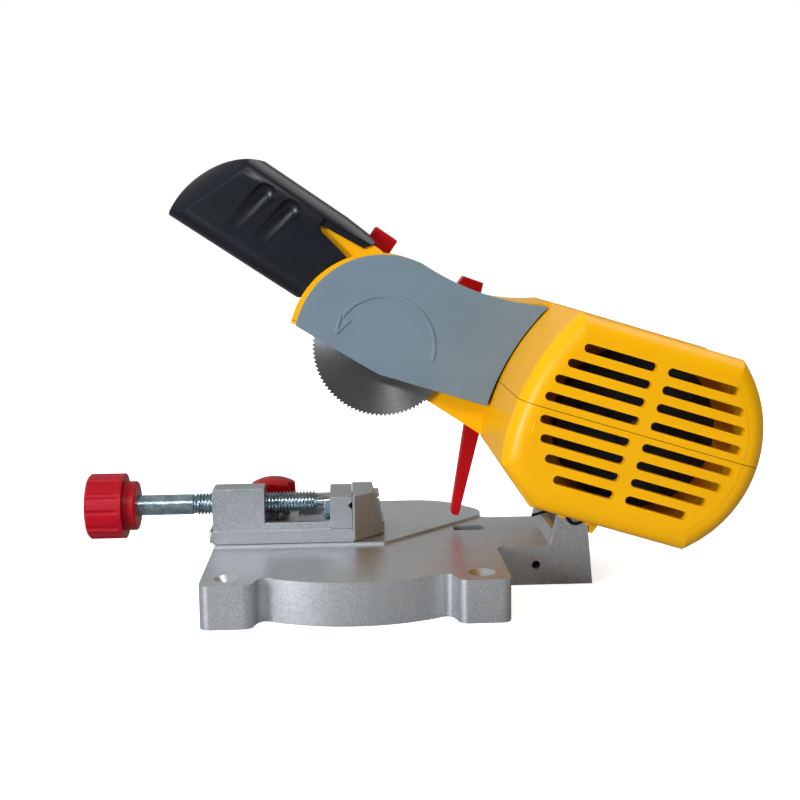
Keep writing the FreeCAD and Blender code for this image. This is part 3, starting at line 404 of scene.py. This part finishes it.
def lamp(name, size, power, at, aim, tint):
    """Soft box of size metres and power watts at one point, aimed at another."""
    data = bpy.data.lights.new(name, "AREA")
    data.shape = "RECTANGLE"
    data.size, data.size_y = size
    data.energy = power
    data.color = tint
    obj = link(bpy.data.objects.new(name, data))
    obj.location = at
    obj.rotation_mode = "QUATERNION"
    obj.rotation_quaternion = (Vector(aim) - Vector(at)).to_track_quat("-Z", "Y")


def camera():
    """Camera at the height and turn that the saw is seen from."""
    yaw, pitch, roll = (math.radians(a) for a in (2.60, 7.70, -0.70))
    ahead = Vector((math.sin(yaw) * math.cos(pitch), math.cos(yaw) * math.cos(pitch), -math.sin(pitch)))
    right = Vector((math.cos(yaw), -math.sin(yaw), 0))
    up = right.cross(ahead)
    turned_right = right * math.cos(roll) + up * math.sin(roll)
    turned_up = up * math.cos(roll) - right * math.sin(roll)
    data = bpy.data.cameras.new("camera")
    data.sensor_width = 36.0
    data.lens = 52.56
    data.clip_start = 0.01
    obj = link(bpy.data.objects.new("camera", data))
    turn = Matrix((turned_right, turned_up, -ahead)).transposed()
    eye = (-0.0017, -0.4345, 0.1262)
    obj.matrix_world = Matrix.Translation(eye) @ turn.to_4x4()
    bpy.context.scene.camera = obj


def light():
    """A white studio: bright above and to the left, dark to the right, with three soft boxes."""
    world = bpy.data.worlds.new("studio")
    world.use_nodes = True
    tree = world.node_tree
    room = tree.nodes["Background"]
    room.inputs["Strength"].default_value = 1.0
    bright_side = tree.nodes.new("ShaderNodeVectorMath")
    bright_side.operation = "DOT_PRODUCT"
    bright_side.inputs[1].default_value = (-0.5, 0.3, 0.6)  # left, behind and above
    tree.links.new(tree.nodes.new("ShaderNodeTexCoord").outputs["Generated"], bright_side.inputs[0])
    shift = tree.nodes.new("ShaderNodeMapRange")
    shift.inputs["From Min"].default_value = -0.8
    shift.inputs["From Max"].default_value = 0.8
    tree.links.new(bright_side.outputs["Value"], shift.inputs["Value"])
    ramp = tree.nodes.new("ShaderNodeValToRGB")
    ramp.color_ramp.elements[0].color = (0.03, 0.03, 0.035, 1)
    ramp.color_ramp.elements[1].color = (0.62, 0.62, 0.60, 1)
    middle = ramp.color_ramp.elements.new(0.5)
    middle.color = (0.16, 0.16, 0.17, 1)
    tree.links.new(shift.outputs["Result"], ramp.inputs["Fac"])
    tree.links.new(ramp.outputs["Color"], room.inputs["Color"])
    backdrop = tree.nodes.new("ShaderNodeBackground")
    backdrop.inputs["Color"].default_value = (1, 1, 1, 1)
    seen = tree.nodes.new("ShaderNodeLightPath")
    join = tree.nodes.new("ShaderNodeMixShader")
    tree.links.new(seen.outputs["Is Camera Ray"], join.inputs[0])
    tree.links.new(room.outputs[0], join.inputs[1])
    tree.links.new(backdrop.outputs[0], join.inputs[2])
    tree.links.new(join.outputs[0], tree.nodes["World Output"].inputs["Surface"])
    bpy.context.scene.world = world
    lamp("key", (0.3, 0.36), 10.0, (-0.72, -0.78, 0.24), (0, 0, 0.06), (0.94, 0.97, 1.0))
    lamp("front_top", (0.17, 0.17), 2.9, (-0.10, -0.865, 0.67), (0.01, 0, 0.08), (1.0, 0.99, 0.97))
    lamp("right_top", (0.7, 0.5), 3.4, (0.42, 0.05, 0.75), (0, 0, 0.08), (1.0, 0.99, 0.97))


floor()
light()
camera()
scene = bpy.context.scene
scene.view_settings.view_transform = "Standard"
